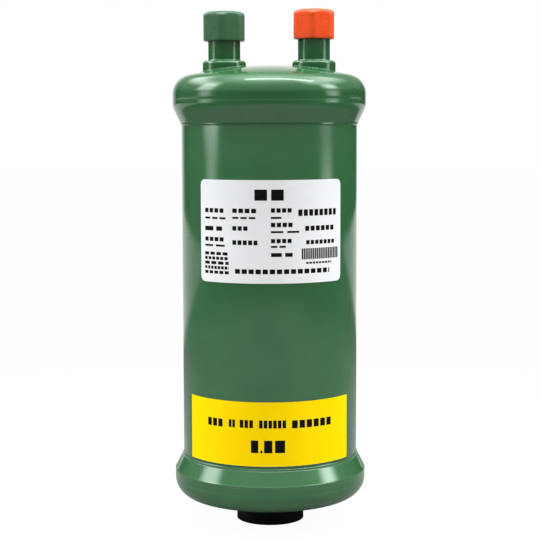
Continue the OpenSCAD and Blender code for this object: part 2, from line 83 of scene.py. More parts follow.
# Printed bars, in millimetres: where each starts and ends round the tube, the height of its middle,
# its own height and the length of a word
NAMEPLATE_BARS = (
    (-6.4, 4.8, 14, 4.2, 6.3), (-28, -18.8, 7.9, 1.7, 2.4), (-28, -18, 5, 0.8, 3.6),
    (-15.2, -5.3, 8, 1.7, 2.5), (-15.2, -5.8, 5.3, 0.8, 3.3), (-0.2, 8.1, 8.2, 1.7, 2.1),
    (-0.2, 3.8, 5.4, 0.8, 5.2), (10.3, 27.7, 7.2, 2.5, 2.25), (-28, -19.6, 1, 1.7, 5.6),
    (-15.2, -8.7, 1.3, 1.7, 2.2), (-0.2, 8.5, 2.7, 1.7, 2.2), (-0.2, 11, 0, 0.8, 6.2),
    (13.1, 26.9, 1.2, 1.9, 2.3), (-28, -18.9, -3.1, 1.6, 2.4), (-28, -18, -5.5, 0.8, 5.4),
    (-15.2, -5.3, -4.1, 1.8, 2.1), (-0.2, 8.1, -3.4, 1.6, 2.1), (-0.2, 5.9, -5.6, 0.8, 3.2),
    (13.5, 26.9, -4.1, 1.6, 1.95), (-28.2, -16.8, -8.6, 1.2, 2.9), (-28.2, -16.8, -10.4, 1.2, 1.9),
    (-28.2, -16.8, -12.2, 1.2, 3.3), (-28.2, -16.8, -14, 1.2, 1.6), (-28.2, -16.8, -15.8, 1.2, 2.4),
    (-0.2, 8.1, -8.7, 1.5, 5.4), (11.7, 29, -8.5, 4.2, 0.9), (13.5, 25.2, -12, 0.8, 1.4),
    (-14.2, 24.2, -15.1, 1.8, 2.7),
)
CHARGE_BARS = (
    (-25.8, -18.1, -8.8, 3.1, 2.6), (-15.8, -12.8, -8.6, 3.1, 1.5), (-11.2, -5.6, -8.5, 3.1, 1.9),
    (-3.6, 7.2, -8.5, 3.1, 1.8), (9.1, 27, -8.7, 3.1, 3), (-6.8, -3.9, -17.25, 4.9, 4),
    (-3.1, -2.3, -19.2, 1.1, 2), (-1.7, 1.5, -17.25, 4.9, 4.4), (2.5, 6.4, -17.25, 4.9, 5.2),
)

# Windows of the room: the setting of their strength, then in degrees their bearing, half width, level,
# half height and soft edge
WINDOWS = (
    ("left_strip", -84, 12, 27, 13, 12),
    ("left_box", -112, 36, 41, 8, 16),
    ("left_foot", -81, 8, -8, 18, 14),
    ("left_wash", -92, 34, 15, 28, 40),
    ("right_strip", 82, 9, 28, 9, 15),
    ("right_box", 98, 40, 52, 11, 24),
    ("right_foot", 80, 8, -8, 18, 14),
)


# Sizes and colours that a user would change


def number(name, description, default, **kind):
    """A number property; kind is its unit or subtype."""
    return FloatProperty(name=name, description=description, default=default, **kind)


def length(name, description, millimetres):
    """A length property."""
    return number(name, description, millimetres * MM, unit="LENGTH")


def turning(name, description, degrees):
    """An angle property."""
    return number(name, description, math.radians(degrees), subtype="ANGLE")


def colour(name, description, default):
    """A colour property."""
    return FloatVectorProperty(name=name, description=description, default=default, subtype="COLOR",
                               size=3, min=0.0, max=1.0)


class VesselSizes(PropertyGroup):
    tube_wall: length("Tube wall", "Wall of the shell tube", 2.5)
    head_wall: length("Head wall", "Wall of the two heads", 3.4)
    top_rim: length("Top rim", "Height of the top head's tapered rim", 6.3)
    top_band: length("Top band", "Height of the top head's straight band", 5.0)
    top_line: length("Top drawing line", "Height of the drawing line above the top rim", 2.7)
    top_ridge: length("Top ridge rounding", "Rounding between rim and band, top head", 7.0)
    bottom_rim: length("Bottom rim", "Height of the bottom head's tapered rim", 5.65)
    bottom_band: length("Bottom band", "Height of the bottom head's straight band", 3.6)
    bottom_line: length("Bottom drawing line", "Depth of the drawing line below the bottom rim", 3.3)
    bottom_edge: length("Bottom edge", "Height of the bottom head's raised edge below its rim", 0.3)
    knuckle_radius: length("Knuckle radius", "Outside radius of a head's knuckle", 7.8)
    crown_radius: length("Crown radius", "Outside radius of a head's crown", 144.0)
    facets: IntProperty(name="Facets", description="Steps round a turned piece", default=192)


class NeckSizes(PropertyGroup):
    neck_radius: length("Neck radius", "Outside radius of a pipe neck", 6.4)
    bore_radius: length("Pipe bore radius", "Radius of the bore for the pipe", 4.8)
    bore_depth: length("Pipe bore depth", "Depth of the bore for the pipe", 10.0)
    passage_radius: length("Passage radius", "Radius below the pipe bore", 3.9)
    collar_height: length("Collar height", "Height of a collar above the dome", 3.0)
    collar_round: length("Collar rounding", "Rounding of a collar's top edge", 1.3)
    collar_weld: length("Collar weld", "Leg of the weld bead round a collar", 0.3)
    boss_weld: length("Boss weld", "Leg of the weld bead round the oil return's boss", 1.3)


class CapSizes(PropertyGroup):
    flat_radius: length("Flat radius", "Distance from a pipe cap's axis to a flat", 7.86)
    roof: length("Roof", "Thickness of a pipe cap's roof", 1.8)
    shoulder: length("Shoulder", "Drop of a pipe cap's rounded shoulder", 3.0)
    top_inset: length("Top inset", "Inset of a pipe cap's flat top from its flats", 2.2)
    crown: length("Crown", "Rise of a pipe cap's slightly domed top", 0.35)
    corner_round: length("Corner rounding", "Width of a pipe cap's rounded corners", 1.6)
    turn: turning("Turn", "Turn of the pipe caps about their necks", -5.9)
    base_recess: length("Base cap recess", "Inner radius of the base cap's rim", 12.0)
    base_floor: length("Base cap floor", "Thickness of the base cap's floor", 3.1)
    plug_radius: length("Plug radius", "Radius of the base cap's plug", 6.44)
    plug_top: length("Plug top", "Height of the top of the base cap's plug", 5.6)


class LabelSizes(PropertyGroup):
    nameplate_width: length("Nameplate width", "Width of the white label round the tube", 61.0)
    nameplate_corner: length("Nameplate corner", "Rounding of the white label's corners", 2.2)
    nameplate_turn: turning("Nameplate turn", "Turn of the white label from the front", 1.2)
    charge_width: length("Yellow label width", "Width of the yellow label round the tube", 74.2)
    charge_turn: turning("Yellow label turn", "Turn of the yellow label from the front", -1.0)
    # The yellow label's dark edge is a painted shadow line along its sides and foot.
    charge_shadow_width: length("Yellow label edge", "Width of the dark edge at its sides", 0.3)
    charge_corner: length("Yellow label corner", "Rounding of the yellow label's corners", 0.6)


class FinishColours(PropertyGroup):
    enamel: colour("Enamel", "Green enamel of the vessel", (0.028, 0.117, 0.041))
    enamel_deep: colour("Deep enamel", "Green enamel where it is thick", (0.024, 0.103, 0.036))
    orange_cap: colour("Orange cap", "Moulded cap of the inlet", (0.90, 0.080, 0.008))
    green_cap: colour("Green cap", "Moulded cap of the outlet", (0.040, 0.125, 0.056))
    black_cap: colour("Black cap", "Moulded cap of the oil return", (0.0026, 0.0026, 0.0027))
    white_label: colour("White label", "Stock of the white label", (0.80, 0.82, 0.84))
    yellow_label: colour("Yellow label", "Stock of the yellow label", (0.96, 0.67, 0.001))
    print_ink: colour("Print", "Ink of the printed bars", (0.006, 0.006, 0.007))
    # Colour of the painted shadow line at the yellow label's sides and foot
    painted_edge_shadow: colour("Label edge", "Printed edge of the yellow label", (0.02, 0.10, 0.07))
    steel: colour("Steel", "Bright steel inside the vessel", (0.60, 0.61, 0.62))
    brass: colour("Brass", "Brass of the valve body", (0.62, 0.43, 0.15))
    ferrite: colour("Ferrite", "Sump magnet", (0.045, 0.045, 0.05))


class StudioSettings(PropertyGroup):
    lens: number("Lens", "Focal length in millimetres", 98.2)
    distance: length("Distance", "Distance from the camera to the axis of the vessel", 590.6)
    camera_height: length("Camera height", "Height of the camera above the floor", 161.7)
    camera_side: length("Camera side", "Distance of the camera to the right of the axis", 0.3)
    tilt: turning("Tilt", "How far the camera looks down", 5.82)
    roll: turning("Roll", "Turn of the camera about its line of sight", 0.153)
    room: number("Room", "Strength of the room's light in front of the vessel", 0.67)
    rear: number("Rear", "Strength of the room's light behind the vessel", 0.4)
    ceiling: number("Ceiling", "Strength that the light gains towards the ceiling", 5.4)
    left_strip: number("Left strip", "Strength of the left strip light", 7.0)
    left_box: number("Left box", "Strength of the high box on the left", 5.3)
    left_foot: number("Left foot", "Strength of the left strip's faint foot", 3.4)
    left_wash: number("Left wash", "Strength of the broad light on the left", 0.12)
    right_strip: number("Right strip", "Strength of the right strip light", 10.0)
    right_box: number("Right box", "Strength of the high box on the right", 5.2)
    right_foot: number("Right foot", "Strength of the right strip's faint foot", 4.0)
    overhead: number("Overhead", "Power of the overhead light", 2.2)


# Modelling by hand


def edit_mode(on=True):
    """Opens the active object for editing, or closes it."""
    bpy.ops.object.mode_set(mode="EDIT" if on else "OBJECT")


def clear_selection():
    """Leaves object mode on and nothing selected."""
    if bpy.context.object and bpy.context.object.mode != "OBJECT":
        edit_mode(False)
    bpy.ops.object.select_all(action="DESELECT")


def pick(obj):
    """Makes one object the only one selected, and the active one."""
    clear_selection()
    obj.select_set(True)
    bpy.context.view_layer.objects.active = obj


def edit_all(obj):
    """Opens a piece in edit mode with all of it selected."""
    pick(obj)
    edit_mode()
    bpy.ops.mesh.select_all(action="SELECT")


def name_piece(name):
    """Names the object that was just added."""
    obj = bpy.context.object
    obj.name = name
    obj.data.name = name
    return obj


def settle():
    """Applies the place, turn and scale of the active object."""
    bpy.ops.object.transform_apply(location=True, rotation=True, scale=True)


def cylinder(name, x, low, high, radius, facets, turn=0.0, ends="NGON"):
    """Adds an upright cylinder."""
    clear_selection()
    bpy.ops.mesh.primitive_cylinder_add(vertices=facets, radius=radius, depth=high - low, end_fill_type=ends,
                                        location=(x, 0.0, (low + high) / 2), rotation=(0.0, 0.0, turn))
    obj = name_piece(name)
    settle()
    return obj


def apply_modifier(obj, kind, **settings):
    """Adds a modifier with its settings and applies it."""
    pick(obj)
    modifier = obj.modifiers.new(kind.title(), kind)
    for key, value in settings.items():
        setattr(modifier, key, value)
    bpy.ops.object.modifier_apply(modifier=modifier.name)


def soften(obj, degrees=32.0):
    """Shades a piece smooth except across its sharp edges."""
    pick(obj)
    bpy.ops.object.shade_smooth_by_angle(angle=math.radians(degrees))


def arc(x, y, radius, start, end, steps):
    """Points of an arc, its angles in degrees."""
    turns = [math.radians(start + (end - start) * i / steps) for i in range(steps + 1)]
    return [(x + radius * math.cos(t), y + radius * math.sin(t)) for t in turns]


def rounded(before, corner, after, radius, steps=4):
    """Points that round off a corner of a profile."""
    corner = Vector(corner)
    to_before = (Vector(before) - corner).normalized()
    to_after = (Vector(after) - corner).normalized()
    half = to_before.angle(to_after) / 2
    reach = radius / math.tan(half)
    centre = corner + (to_before + to_after).normalized() * (radius / math.sin(half))
    start = corner + to_before * reach - centre
    end = corner + to_after * reach - centre
    swing = start.angle_signed(end)
    points = []
    for i in range(steps + 1):
        t = -swing * i / steps
        points.append((centre.x + start.x * math.cos(t) - start.y * math.sin(t),
                       centre.y + start.x * math.sin(t) + start.y * math.cos(t)))
    return points


def turned(name, profile, centre=(0.0, 0.0, 0.0), lean=0.0, steps=None):
    """Turns a closed profile of (radius, height) points about an upright or leaning axis."""
    steps = steps or bpy.context.scene.vessel_sizes.facets
    axis = Vector((math.sin(lean), 0.0, math.cos(lean)))
    across = Vector((math.cos(lean), 0.0, -math.sin(lean)))
    points = [Vector(centre) + across * r + axis * h for r, h in profile]
    clear_selection()
    bpy.ops.mesh.primitive_plane_add(size=MM)
    obj = name_piece(name)
    edit_all(obj)
    bpy.ops.mesh.merge(type="CENTER")
    bpy.ops.transform.translate(value=points[0])
    for here, there in zip(points, points[1:]):
        bpy.ops.mesh.extrude_region_move(TRANSFORM_OT_translate={"value": there - here})
    if profile[0][0] > ON_AXIS or profile[-1][0] > ON_AXIS:
        edit_mode(False)
        ends = obj.data.vertices
        ends[0].select = True
        ends[len(ends) - 1].select = True
        edit_mode()
        bpy.ops.mesh.edge_face_add()
    bpy.ops.mesh.select_all(action="SELECT")
    bpy.ops.mesh.spin(steps=steps, angle=2 * math.pi, center=Vector(centre), axis=axis)
    bpy.ops.mesh.select_all(action="SELECT")
    bpy.ops.mesh.remove_doubles(threshold=MERGE_WITHIN)
    bpy.ops.mesh.normals_make_consistent(inside=False)
    edit_mode(False)
    return obj


def bored(obj, x, low, high, radius):
    """Bores a hole for a neck up through a piece."""
    cutter = cylinder("drill", x, low, high, radius, NECK_STEPS)
    apply_modifier(obj, "BOOLEAN", object=cutter, operation="DIFFERENCE", solver="EXACT")
    bpy.data.objects.remove(cutter)


def uneven(bead, amount, seed):
    """Makes the surface of a weld bead slightly uneven."""
    edit_all(bead)
    bpy.ops.transform.vertex_random(offset=amount, uniform=0.4, normal=0.6, seed=seed)
    bpy.ops.mesh.vertices_smooth(factor=0.5, repeat=2)
    edit_mode(False)


def dress(obj, material, body, slot, *nodes):
    """Gives a piece its material, sets it on its body and hides the CAD nodes that it stands for; the slot is
    not used.
    """
    obj.data.materials.clear()
    obj.data.materials.append(material)
    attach(obj, body)
    if nodes:
        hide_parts(*nodes)


# Materials


def add_node(tree, kind, **settings):
    """Adds a shader node; settings are its attributes."""
    node = tree.nodes.new(kind)
    for key, value in settings.items():
        setattr(node, key, value)
    return node


def feed(tree, socket, value):
    """Links an output to a socket, or sets the socket to a number, a vector or a colour."""
    if isinstance(value, bpy.types.NodeSocket):
        tree.links.new(value, socket)
    elif socket.type == "RGBA":
        socket.default_value = (*value, 1.0)
    else:
        socket.default_value = value


def fill(tree, node, values):
    """Feeds the named inputs of a node."""
    for key, value in values.items():
        feed(tree, node.inputs[key], value)
    return node


def maths(tree, operation, *operands):
    """Adds a maths node; each operand is a number or an output socket."""
    node = add_node(tree, "ShaderNodeMath", operation=operation)
    for socket, value in zip(node.inputs, operands):
        feed(tree, socket, value)
    return node.outputs[0]


def ramp(tree, value, low, high, start=0.0, end=1.0, shape="SMOOTHSTEP"):
    """Maps a value from low..high to start..end and holds it beyond."""
    node = add_node(tree, "ShaderNodeMapRange", interpolation_type=shape)
    fill(tree, node, {"Value": value, "From Min": low, "From Max": high, "To Min": start, "To Max": end})
    return node.outputs["Result"]


def spread(tree, value, low, high):
    """Maps a mask from 0..1 to low..high."""
    return maths(tree, "MULTIPLY_ADD", value, high - low, low)


def blended(tree, amount, first, second):
    """Mixes two colours, each a colour or an output socket."""
    node = add_node(tree, "ShaderNodeMix", data_type="RGBA", clamp_factor=True)
    for index, value in ((0, amount), (6, first), (7, second)):
        feed(tree, node.inputs[index], value)
    return node.outputs[2]


def split(tree, vector):
    """The X, Y and Z of a vector."""
    return fill(tree, add_node(tree, "ShaderNodeSeparateXYZ"), {"Vector": vector}).outputs


def darker(base, share):
    """A share of a colour."""
    return tuple(c * share for c in base)


def shared_group(name, inputs, outputs):
    """An empty shader node group with named sockets, or the one made before."""
    if name in bpy.data.node_groups:
        return bpy.data.node_groups[name], None, None
    group = bpy.data.node_groups.new(name, "ShaderNodeTree")
    for way, sockets in (("INPUT", inputs), ("OUTPUT", outputs)):
        for label, kind in sockets.items():
            group.interface.new_socket(label, in_out=way, socket_type="NodeSocket" + kind)
    return group, group.nodes.new("NodeGroupInput"), group.nodes.new("NodeGroupOutput")


def noise_in(group, vector, scale, **values):
    """A noise texture."""
    noise = add_node(group, "ShaderNodeTexNoise")
    return fill(group, noise, {"Vector": vector, "Scale": scale, **values}).outputs["Fac"]


def tone_drift_group():
    """Slow drift between two tones of one colour, with its mask."""
    group, given, result = shared_group(
        "Tone drift", {"Vector": "Vector", "Scale": "Float", "Light": "Color", "Deep": "Color"},
        {"Color": "Color", "Mask": "Float"})
    if given:
        vector, scale, light, deep = list(given.outputs)[:4]
        mask = ramp(group, noise_in(group, vector, scale, Detail=3.0), 0.32, 0.68)
        mix = blended(group, mask, light, deep)
        fill(group, result, {"Color": mix, "Mask": mask})
    return group


def fine_grain_group():
    """Fine surface grain: a height for bump and painted glints on its tops."""
    group, given, result = shared_group(
        "Fine grain", {"Vector": "Vector", "Scale": "Float", "Amount": "Float"},
        {"Height": "Float", "Glints": "Float"})
    if given:
        vector, scale, amount = list(given.outputs)[:3]
        noise = noise_in(group, vector, scale, Detail=2.0, Roughness=0.6)
        tops = ramp(group, noise, 0.54, 0.72, shape="LINEAR")
        # The tops of the grain make the mask of painted glints.
        fill(group, result, {"Height": maths(group, "MULTIPLY", noise, amount),
                             "Glints": maths(group, "MULTIPLY", tops, amount)})
    return group


def print_bar_group():
    """One printed bar, broken into words, on a label: a mask from the place along and up the label."""
    inked_share = 0.76
    group, given, result = shared_group(
        "Print bar", dict.fromkeys(("Along", "Up", "From", "To", "Middle", "Height", "Word"), "Float"),
        {"Mask": "Float"})
    if given:
        along, up, start, end, middle, height, word = list(given.outputs)[:7]
        after = maths(group, "GREATER_THAN", along, start)
        before = maths(group, "LESS_THAN", along, end)
        off = maths(group, "ABSOLUTE", maths(group, "SUBTRACT", up, middle))
        level = maths(group, "LESS_THAN", off, maths(group, "MULTIPLY", height, 0.5))
        run = maths(group, "DIVIDE", maths(group, "SUBTRACT", along, start), word)
        ink = maths(group, "LESS_THAN", maths(group, "FRACT", run), inked_share)
        within = maths(group, "MULTIPLY", after, before)
        fill(group, result, {"Mask": maths(group, "MULTIPLY", within, maths(group, "MULTIPLY", level, ink))})
    return group


def soft_window_group():
    """A soft-edged window of light in the room, from a compass bearing and a height in degrees."""
    group, given, result = shared_group(
        "Soft window",
        dict.fromkeys(("Bearing", "Height", "Middle", "Half", "Level", "Reach", "Soft", "Strength"), "Float"),
        {"Light": "Float"})
    if given:
        bearing, height, middle, half, level, reach, soft, light = list(given.outputs)[:8]
        edge = maths(group, "MULTIPLY", soft, 0.5)
        for place, centre, extent in ((bearing, middle, half), (height, level, reach)):
            off = maths(group, "ABSOLUTE", maths(group, "SUBTRACT", place, centre))
            outer = maths(group, "ADD", extent, edge)
            inner = maths(group, "SUBTRACT", extent, edge)
            light = maths(group, "MULTIPLY", light, ramp(group, off, outer, inner))
        fill(group, result, {"Light": light})
    return group


def new_material(name):
    """A material with a Principled shader, and its object coordinates."""
    material = bpy.data.materials.new(name)
    material.use_nodes = True
    tree = material.node_tree
    place = add_node(tree, "ShaderNodeTexCoord")
    return material, tree, tree.nodes["Principled BSDF"], place.outputs["Object"]


def place_group(tree, group, **values):
    """Places a shared group in a material with its own values."""
    return fill(tree, add_node(tree, "ShaderNodeGroup", node_tree=group), values)


def toned(tree, place, light, deep, scale):
    """Colour and mask of a slow drift between two tones."""
    node = place_group(tree, tone_drift_group(), Vector=place, Scale=scale, Light=light, Deep=deep)
    return node.outputs["Color"], node.outputs["Mask"]


def grained(tree, place, scale, amount):
    """Height of a fine grain and the mask of painted glints on its tops."""
    node = place_group(tree, fine_grain_group(), Vector=place, Scale=scale, Amount=amount)
    return node.outputs["Height"], node.outputs["Glints"]


def bump_from(tree, height, distance, strength):
    """A normal from a height."""
    bump = add_node(tree, "ShaderNodeBump")
    fill(tree, bump, {"Strength": strength, "Distance": distance, "Height": height})
    return bump.outputs["Normal"]


def even_finish(name, light, deep, scales, grain, rough, relief, values):
    """A finish with drifting tone and fine grain all over.

    Scales are those of tone and grain, rough is the range of roughness, relief is the bump's distance and
    strength, and values are more inputs of the shader."""
    material, tree, shader, place = new_material(name)
    tone, mask = toned(tree, place, light, deep, scales[0])
    height, _ = grained(tree, place, scales[1], grain)
    fill(tree, shader, {"Base Color": tone, "Roughness": spread(tree, mask, *rough),
                        "Normal": bump_from(tree, height, *relief), **values})
    return material


def enamel(colours):
    """Sprayed green enamel with slight orange peel."""
    return even_finish("green enamel", colours.enamel, colours.enamel_deep, scales=(55.0, 520.0), grain=1.0,
                       rough=(0.08, 0.12), relief=(0.03 * MM, 0.5),
                       values={"IOR": 1.6, "Specular Tint": (0.82, 1.0, 0.87)})


def black_plastic(base):
    """Matte black moulded plastic."""
    return even_finish("matte black plastic", base, darker(base, 0.7), scales=(120.0, 1500.0), grain=0.5,
                       rough=(0.52, 0.62), relief=(0.05 * MM, 0.4), values={"Specular IOR Level": 0.15})


def inner_metal(name, base, metallic, rough):
    """Bright or turned metal of the pieces inside the vessel."""
    return even_finish(name, base, darker(base, 0.82), scales=(140.0, 1200.0), grain=0.5, rough=rough,
                       relief=(0.03 * MM, 0.3), values={"Metallic": metallic})


def sandy_plastic(name, base, side, turn, low, high):
    """Moulded plastic, sandy on the six flats of a cap and smooth on its corners, with pale painted glints on
    the tops of its sandy grain.
    """
    material, tree, shader, place = new_material(name)
    centre = add_node(tree, "ShaderNodeMapping", vector_type="TEXTURE")
    fill(tree, centre, {"Vector": place, "Location": (side * NECK_X, 0.0, 0.0), "Rotation": (0.0, 0.0, turn)})
    x, y, z = split(tree, centre.outputs["Vector"])
    sixth, flat_to, corner_from = math.pi / 3, 0.36, 0.46
    across = maths(tree, "WRAP", maths(tree, "ARCTAN2", y, x), sixth / 2, -sixth / 2)
    flat = ramp(tree, maths(tree, "ABSOLUTE", across), corner_from, flat_to)
    above = ramp(tree, z, low + 0.3 * MM, low + 0.9 * MM)
    below = ramp(tree, z, high - 1.3 * MM, high - 2.2 * MM)
    sandy = maths(tree, "MULTIPLY", flat, maths(tree, "MULTIPLY", above, below))
    height, painted_glints = grained(tree, place, scale=1700.0, amount=spread(tree, sandy, 0.12, 1.0))
    tone, _ = toned(tree, place, base, darker(base, 0.9), scale=160.0)
    # pale is the colour of the painted glints on the tops of the grain, mostly on the flats
    pale = tuple(min(1.0, c * 1.3 + 0.02) for c in base)
    fill(tree, shader, {
        "Base Color": blended(tree, maths(tree, "MULTIPLY", painted_glints, 0.7), tone, pale),
        "Roughness": spread(tree, sandy, 0.4, 0.6),
        "Specular IOR Level": spread(tree, sandy, 0.45, 0.18),
        "Normal": bump_from(tree, height, distance=0.2 * MM, strength=0.8),
    })
    return material


def label_stock(name, base, ink, datum, bars, turn, edge=None):
    """Label stock with bars printed round the tube, their heights from a datum in metres.

    An edge is the painted shadow line at the label's sides and foot: its half width, its top and its colour."""
    material, tree, shader, place = new_material(name)
    x, y, z = split(tree, place)
    angle = maths(tree, "ARCTAN2", x, maths(tree, "MULTIPLY", y, -1.0))
    along = maths(tree, "MULTIPLY", maths(tree, "SUBTRACT", angle, turn), TUBE_R)
    tone, _ = toned(tree, place, base, darker(base, 0.965), scale=90.0)
    height, _ = grained(tree, place, scale=1800.0, amount=0.4)
    mask = 0.0
    for start, end, up, tall, word in bars:
        bar = place_group(tree, print_bar_group(), Along=along, Up=z, From=start * MM, To=end * MM,
                          Middle=datum + up * MM, Height=tall * MM, Word=word * MM)
        mask = maths(tree, "MAXIMUM", mask, bar.outputs["Mask"])
    printed = blended(tree, mask, tone, ink)
    # The edge paints a shadow line along the label's sides and its foot.
    if edge:
        half, foot, shadow_colour = edge
        side = maths(tree, "GREATER_THAN", maths(tree, "ABSOLUTE", along), half)
        rim = maths(tree, "MAXIMUM", side, maths(tree, "LESS_THAN", z, foot))
        printed = blended(tree, rim, printed, shadow_colour)
    fill(tree, shader, {
        "Base Color": printed,
        "Roughness": spread(tree, mask, 0.55, 0.45),
        "Specular IOR Level": 0.02,
        "Normal": bump_from(tree, height, distance=0.03 * MM, strength=0.3),
    })
    return material


# Pieces


def enamelled(obj, node, degrees=32.0):
    """Finishes an outer steel piece in the green enamel that all of them share."""
    soften(obj, degrees)
    made = bpy.data.materials.get("green enamel")
    dress(obj, made or enamel(bpy.context.scene.finish_colours), "vessel", "green_paint", node)


class SEPARATOR_OT_shell(Operator):
    """Models the drawn tube and the filler that shows at its two seams"""
    bl_idname = "separator.shell"
    bl_label = "Shell tube and seams"

    def execute(self, context):
        sizes = context.scene.vessel_sizes
        tube = cylinder("shell_wall", 0.0, TUBE_LOW, TUBE_HIGH, TUBE_R, sizes.facets, ends="NOTHING")
        apply_modifier(tube, "SOLIDIFY", thickness=sizes.tube_wall, offset=-1.0, use_even_offset=True)
        apply_modifier(tube, "BEVEL", width=0.4 * MM, segments=2, limit_method="ANGLE",
                       angle_limit=math.radians(60))
        enamelled(tube, "shell_tube")
        fillet, sunk, hidden, foot = 0.46 * MM, 0.1 * MM, 0.2 * MM, 0.95 * MM
        inner, outer = TUBE_R - sunk, TUBE_R + fillet
        profile = [(inner, hidden), (inner, -foot)]
        profile += arc(outer, -2 * fillet, fillet, 180, 90, 6)
        profile += [(outer, hidden)]
        for name, node, seam, up in (("top_seam", "top_braze", SEAM_HIGH, 1),
                                     ("bottom_seam", "bottom_braze", SEAM_LOW, -1)):
            enamelled(turned(name, [(r, seam + up * h) for r, h in profile]), node)
        return {"FINISHED"}


def dish_height(sizes):
    """Height of a head's knuckle and crown beyond its straight band."""
    reach = sizes.crown_radius - sizes.knuckle_radius
    across = HEAD_R - sizes.knuckle_radius
    return sizes.crown_radius - math.sqrt(reach * reach - across * across)


def head_profile(sizes, rim, band, line, ridge, edge, hole):
    """Closed profile of a head, heights from its seam to its pole; hole is the radius of the opening there."""
    wall, knuckle, crown = sizes.head_wall, sizes.knuckle_radius, sizes.crown_radius
    lip_width, lip_round, edge_round, margin, ease = 0.4 * MM, 0.6 * MM, 0.15 * MM, 0.15 * MM, 0.12 * MM
    inner_r = HEAD_R - wall
    straight, groove = rim + band, rim + line
    tip = math.degrees(math.acos((HEAD_R - knuckle) / (crown - knuckle)))
    centre = straight + dish_height(sizes) - crown
    lip = Vector((inner_r + lip_width, 0.0))
    corner = Vector((HEAD_R, rim))
    foot = corner - Vector((0.8, 1.0)) * edge
    slant = (foot - lip).normalized()
    if edge:
        bend = [foot] + rounded(foot, corner, (HEAD_R, groove), edge_round)
    else:
        bend = rounded(lip, corner, (HEAD_R, groove), ridge, 10)
    outside = rounded((inner_r, 0.0), lip, foot, lip_round, 5)
    outside.append(Vector(outside[-1]) + slant * margin)
    outside += [Vector(bend[0]) - slant * margin] + bend
    for depth, up in ((0.0, -0.2), (0.05, 0.0), (0.02, 0.2)):
        outside.append((HEAD_R - depth * MM, groove + up * MM))
    stop = 90.0 - math.degrees(math.asin(hole / crown))
    outside += arc(HEAD_R - knuckle, straight, knuckle, 0, tip, 24)
    outside += arc(0.0, centre, crown, tip, stop, 14)[1:]
    stop = 90.0 - math.degrees(math.asin(hole / (crown - wall)))
    inside = arc(HEAD_R - knuckle, straight, knuckle - wall, 0, tip, 12)
    inside += arc(0.0, centre, crown - wall, tip, stop, 8)[1:]
    return outside + inside[::-1] + [(inner_r, ease), (inner_r + ease, 0.0)]


class SEPARATOR_OT_heads(Operator):
    """Models the two dished heads, the top one bored for its necks"""
    bl_idname = "separator.heads"
    bl_label = "Dished heads"

    def execute(self, context):
        sizes = context.scene.vessel_sizes
        sharp, over = 24.0, 5 * MM
        profile = head_profile(sizes, sizes.top_rim, sizes.top_band, sizes.top_line,
                               ridge=sizes.top_ridge, edge=0.0, hole=0.0)
        top = turned("top_dish", [(r, SEAM_HIGH + h) for r, h in profile])
        for side in (-1, 1):
            bored(top, side * NECK_X, SEAM_HIGH, POLE_HIGH + over, context.scene.neck_sizes.neck_radius)
        enamelled(top, "top_head", sharp)
        profile = head_profile(sizes, sizes.bottom_rim, sizes.bottom_band, sizes.bottom_line,
                               ridge=0.0, edge=sizes.bottom_edge, hole=BOSS_R)
        bottom = turned("bottom_dish", [(r, SEAM_LOW - h) for r, h in profile])
        enamelled(bottom, "bottom_head", sharp)
        return {"FINISHED"}


def neck_profile(sizes, collar_top):
    """Closed profile of a pipe neck with its stepped bore."""
    r, bore, passage = sizes.neck_radius, sizes.bore_radius, sizes.passage_radius
    low, top, step = NECK_LOW, NECK_HIGH, NECK_HIGH - sizes.bore_depth
    return [(r, low), (r, collar_top - 0.5 * MM), (r, top - 0.4 * MM), (r - 0.1 * MM, top - 0.12 * MM),
            (r - 0.35 * MM, top), (bore + 0.35 * MM, top), (bore + 0.1 * MM, top - 0.15 * MM),
            (bore, top - 0.45 * MM), (bore, step), (passage, step), (passage, low)]


def collar_profile(sizes, dome):
    """Closed profile of a collar with a rounded top edge and a fillet towards its neck."""
    top, foot = dome + sizes.collar_height, dome - sizes.collar_height
    ease, fillet, inner = sizes.collar_round, 0.55 * MM, sizes.neck_radius - 0.2 * MM
    profile = [(inner, foot), (COLLAR_R, foot)]
    profile += arc(COLLAR_R - ease, top - ease, ease, 0, 90, 10)
    profile += arc(sizes.neck_radius + fillet, top + fillet, fillet, 270, 180, 6)
    return profile + [(inner, top + fillet)]


def bead_profile(radius, base, leg, inset, depth, up, steps):
    """Closed profile of a weld bead round a post; it stands on base, upwards or downwards."""
    inner, buried = radius - inset, base - up * depth
    profile = [(inner, buried), (radius + leg, buried)]
    profile += arc(radius, base, leg, 0, up * 90, steps)
    return profile + [(inner, base + up * leg)]


